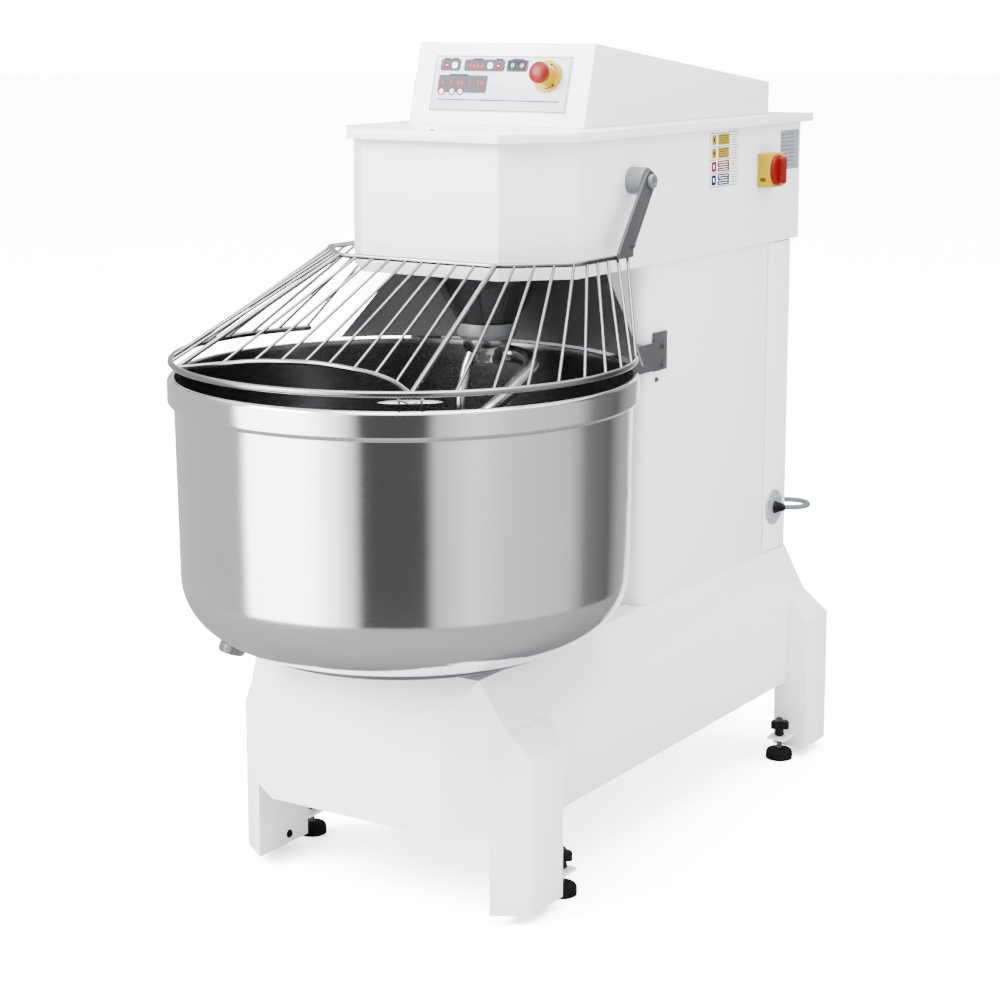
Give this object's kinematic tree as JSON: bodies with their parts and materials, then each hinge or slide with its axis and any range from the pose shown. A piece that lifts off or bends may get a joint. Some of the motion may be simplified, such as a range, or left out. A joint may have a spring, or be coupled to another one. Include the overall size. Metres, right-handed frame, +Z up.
{
  "type": "spiral dough mixer",
  "caption": "Floor-standing spiral dough mixer with a turning steel bowl, spiral tool, lifting wire guard, column, head and sloping control console.",
  "frame": {"origin": "middle of the machine's footprint box, on the floor, without the lead behind it", "axes": "+Z up, -Y towards the baker who stands at the bowl, +Y towards the back, +X to the main switch's side"},
  "size_m": [0.89, 1.885, 1.613],
  "materials": {
    "white_paint": "semi-gloss white powder coat on sheet steel",
    "polished_steel": "polished stainless steel",
    "satin_steel": "satin stainless steel",
    "dark_steel": "dark painted steel",
    "cast_metal": "machined casting",
    "motor_paint": "dark motor enamel",
    "black_plastic": "moulded black plastic",
    "black_rubber": "black rubber",
    "red_plastic": "glossy red plastic",
    "green_plastic": "glossy green plastic",
    "yellow_plastic": "glossy yellow plastic",
    "panel_film": "printed membrane film",
    "lead_sheath": "grey PVC sheath"
  },
  "bodies": {
    "base": {"base_frame": "white_paint", "leg_front_right": "white_paint", "leg_front_left": "white_paint", "leg_rear_right": "white_paint", "leg_rear_left": "white_paint", "column_shell": "white_paint", "column_rear_cover": "white_paint", "head_shell": "white_paint", "head_deck": "white_paint", "console_housing": "white_paint", "control_panel": "panel_film", "estop_ring": "yellow_plastic", "isolator_box": "yellow_plastic", "inlet_flange": "satin_steel", "cable_strain_relief": "black_plastic", "mains_lead": "lead_sheath", "mains_lead_coil": "lead_sheath", "mains_plug": "red_plastic", "bowl_bearing_housing": "cast_metal", "bowl_belt": "black_rubber", "bowl_motor": "motor_paint", "spiral_belt": "black_rubber", "spiral_motor": "motor_paint", "spiral_housing": "dark_steel", "spiral_collar": "satin_steel", "rear_shield": "dark_steel", "roller_bracket_right": "satin_steel", "roller_bracket_left": "satin_steel", "guard_pivot_right": "satin_steel", "guard_pivot_left": "satin_steel", "foot_pad_front_right": "black_rubber", "foot_pad_front_left": "black_rubber", "foot_pad_rear_right": "black_rubber", "foot_pad_rear_left": "black_rubber"},
    "bowl_body": {"bowl": "polished_steel", "bowl_drain": "polished_steel", "bowl_turntable": "cast_metal", "bowl_pulley": "cast_metal"},
    "bowl_drive": {"bowl_motor_pulley": "cast_metal"},
    "spiral_body": {"spiral_hook": "polished_steel", "spiral_pulley": "cast_metal"},
    "spiral_drive": {"spiral_motor_pulley": "cast_metal"},
    "guard": {"guard_cage": "polished_steel", "guard_arm_right": "satin_steel", "guard_arm_left": "satin_steel"},
    "rim_roller_right": {"rim_roller_right": "black_plastic"},
    "rim_roller_left": {"rim_roller_left": "black_plastic"},
    "wheel_front_right": {"wheel_front_right": "black_plastic"},
    "wheel_front_left": {"wheel_front_left": "black_plastic"},
    "wheel_rear_right": {"wheel_rear_right": "black_plastic"},
    "wheel_rear_left": {"wheel_rear_left": "black_plastic"},
    "foot_screw_front_right": {"foot_screw_front_right": "black_plastic"},
    "foot_screw_front_left": {"foot_screw_front_left": "black_plastic"},
    "foot_screw_rear_right": {"foot_screw_rear_right": "black_plastic"},
    "foot_screw_rear_left": {"foot_screw_rear_left": "black_plastic"},
    "estop_stem": {"estop_stem": "satin_steel"},
    "estop_cap": {"estop_cap": "red_plastic"},
    "isolator_knob": {"isolator_knob": "red_plastic"},
    "start_key": {"start_key": "green_plastic"},
    "stop_key": {"stop_key": "red_plastic"}
  },
  "joints": [
    {"name": "bowl_spin", "type": "hinge", "parent": "base", "child": "bowl_body", "pos_m": [0, -0.377, 0.5], "axis": [0, 0, 1], "continuous": true},
    {"name": "bowl_motor_spin", "type": "hinge", "parent": "base", "child": "bowl_drive", "pos_m": [0, 0.103, 0.35], "axis": [0, 0, 1], "continuous": true},
    {"name": "spiral_spin", "type": "hinge", "parent": "base", "child": "spiral_body", "pos_m": [0, -0.092, 1.1], "axis": [0, 0, 1], "continuous": true},
    {"name": "spiral_motor_spin", "type": "hinge", "parent": "base", "child": "spiral_drive", "pos_m": [0, 0.423, 1.2], "axis": [0, 0, 1], "continuous": true},
    {"name": "guard_lift", "type": "hinge", "parent": "base", "child": "guard", "pos_m": [0, 0.023, 1.349], "axis": [-1, 0, 0], "range_deg": [0, 75]},
    {"name": "rim_roller_right_spin", "type": "hinge", "parent": "base", "child": "rim_roller_right", "pos_m": [0.231, 0.02703, 0.98], "axis": [0, 0, 1], "continuous": true},
    {"name": "rim_roller_left_spin", "type": "hinge", "parent": "base", "child": "rim_roller_left", "pos_m": [-0.231, 0.02703, 0.98], "axis": [0, 0, 1], "continuous": true},
    {"name": "wheel_front_right_spin", "type": "hinge", "parent": "base", "child": "wheel_front_right", "pos_m": [0.3045, -0.407, 0.039], "axis": [1, 0, 0], "continuous": true},
    {"name": "wheel_front_left_spin", "type": "hinge", "parent": "base", "child": "wheel_front_left", "pos_m": [-0.3045, -0.407, 0.039], "axis": [1, 0, 0], "continuous": true},
    {"name": "wheel_rear_right_spin", "type": "hinge", "parent": "base", "child": "wheel_rear_right", "pos_m": [0.315, 0.742, 0.039], "axis": [1, 0, 0], "continuous": true},
    {"name": "wheel_rear_left_spin", "type": "hinge", "parent": "base", "child": "wheel_rear_left", "pos_m": [-0.315, 0.742, 0.039], "axis": [1, 0, 0], "continuous": true},
    {"name": "foot_screw_front_right_turn", "type": "hinge", "parent": "base", "child": "foot_screw_front_right", "pos_m": [0.302, -0.293, 0.06], "axis": [0, 0, 1], "range_deg": [-720, 720]},
    {"name": "foot_screw_front_left_turn", "type": "hinge", "parent": "base", "child": "foot_screw_front_left", "pos_m": [-0.302, -0.293, 0.06], "axis": [0, 0, 1], "range_deg": [-720, 720]},
    {"name": "foot_screw_rear_right_turn", "type": "hinge", "parent": "base", "child": "foot_screw_rear_right", "pos_m": [0.302, 0.658, 0.06], "axis": [0, 0, 1], "range_deg": [-720, 720]},
    {"name": "foot_screw_rear_left_turn", "type": "hinge", "parent": "base", "child": "foot_screw_rear_left", "pos_m": [-0.302, 0.658, 0.06], "axis": [0, 0, 1], "range_deg": [-720, 720]},
    {"name": "estop_push", "type": "slide", "parent": "base", "child": "estop_stem", "axis": [0, 0.9634, -0.2681], "range_m": [0, 0.005]},
    {"name": "estop_twist", "type": "hinge", "parent": "estop_stem", "child": "estop_cap", "pos_m": [0.109, -0.0401, 1.5479], "axis": [0, -0.9634, 0.2681], "range_deg": [0, 45], "stiffness_Nm_per_rad": 0.1, "springref_deg": -5.73},
    {"name": "isolator_turn", "type": "hinge", "parent": "base", "child": "isolator_knob", "pos_m": [0.2906, 0.6075, 1.336], "axis": [1, 0, 0], "range_deg": [0, 90]},
    {"name": "start_key_press", "type": "slide", "parent": "base", "child": "start_key", "axis": [0, 0.9634, -0.2681], "range_m": [0, 0.001], "stiffness_N_per_m": 300, "springref_m": -0.001},
    {"name": "stop_key_press", "type": "slide", "parent": "base", "child": "stop_key", "axis": [0, 0.9634, -0.2681], "range_m": [0, 0.001], "stiffness_N_per_m": 300, "springref_m": -0.001}
  ],
  "couplings": [
    {"joint": "bowl_motor_spin", "follows": "bowl_spin", "ratio": 4},
    {"joint": "rim_roller_right_spin", "follows": "bowl_spin", "ratio": -22.25},
    {"joint": "rim_roller_left_spin", "follows": "bowl_spin", "ratio": -22.25},
    {"joint": "spiral_motor_spin", "follows": "spiral_spin", "ratio": 2.8333}
  ]
}
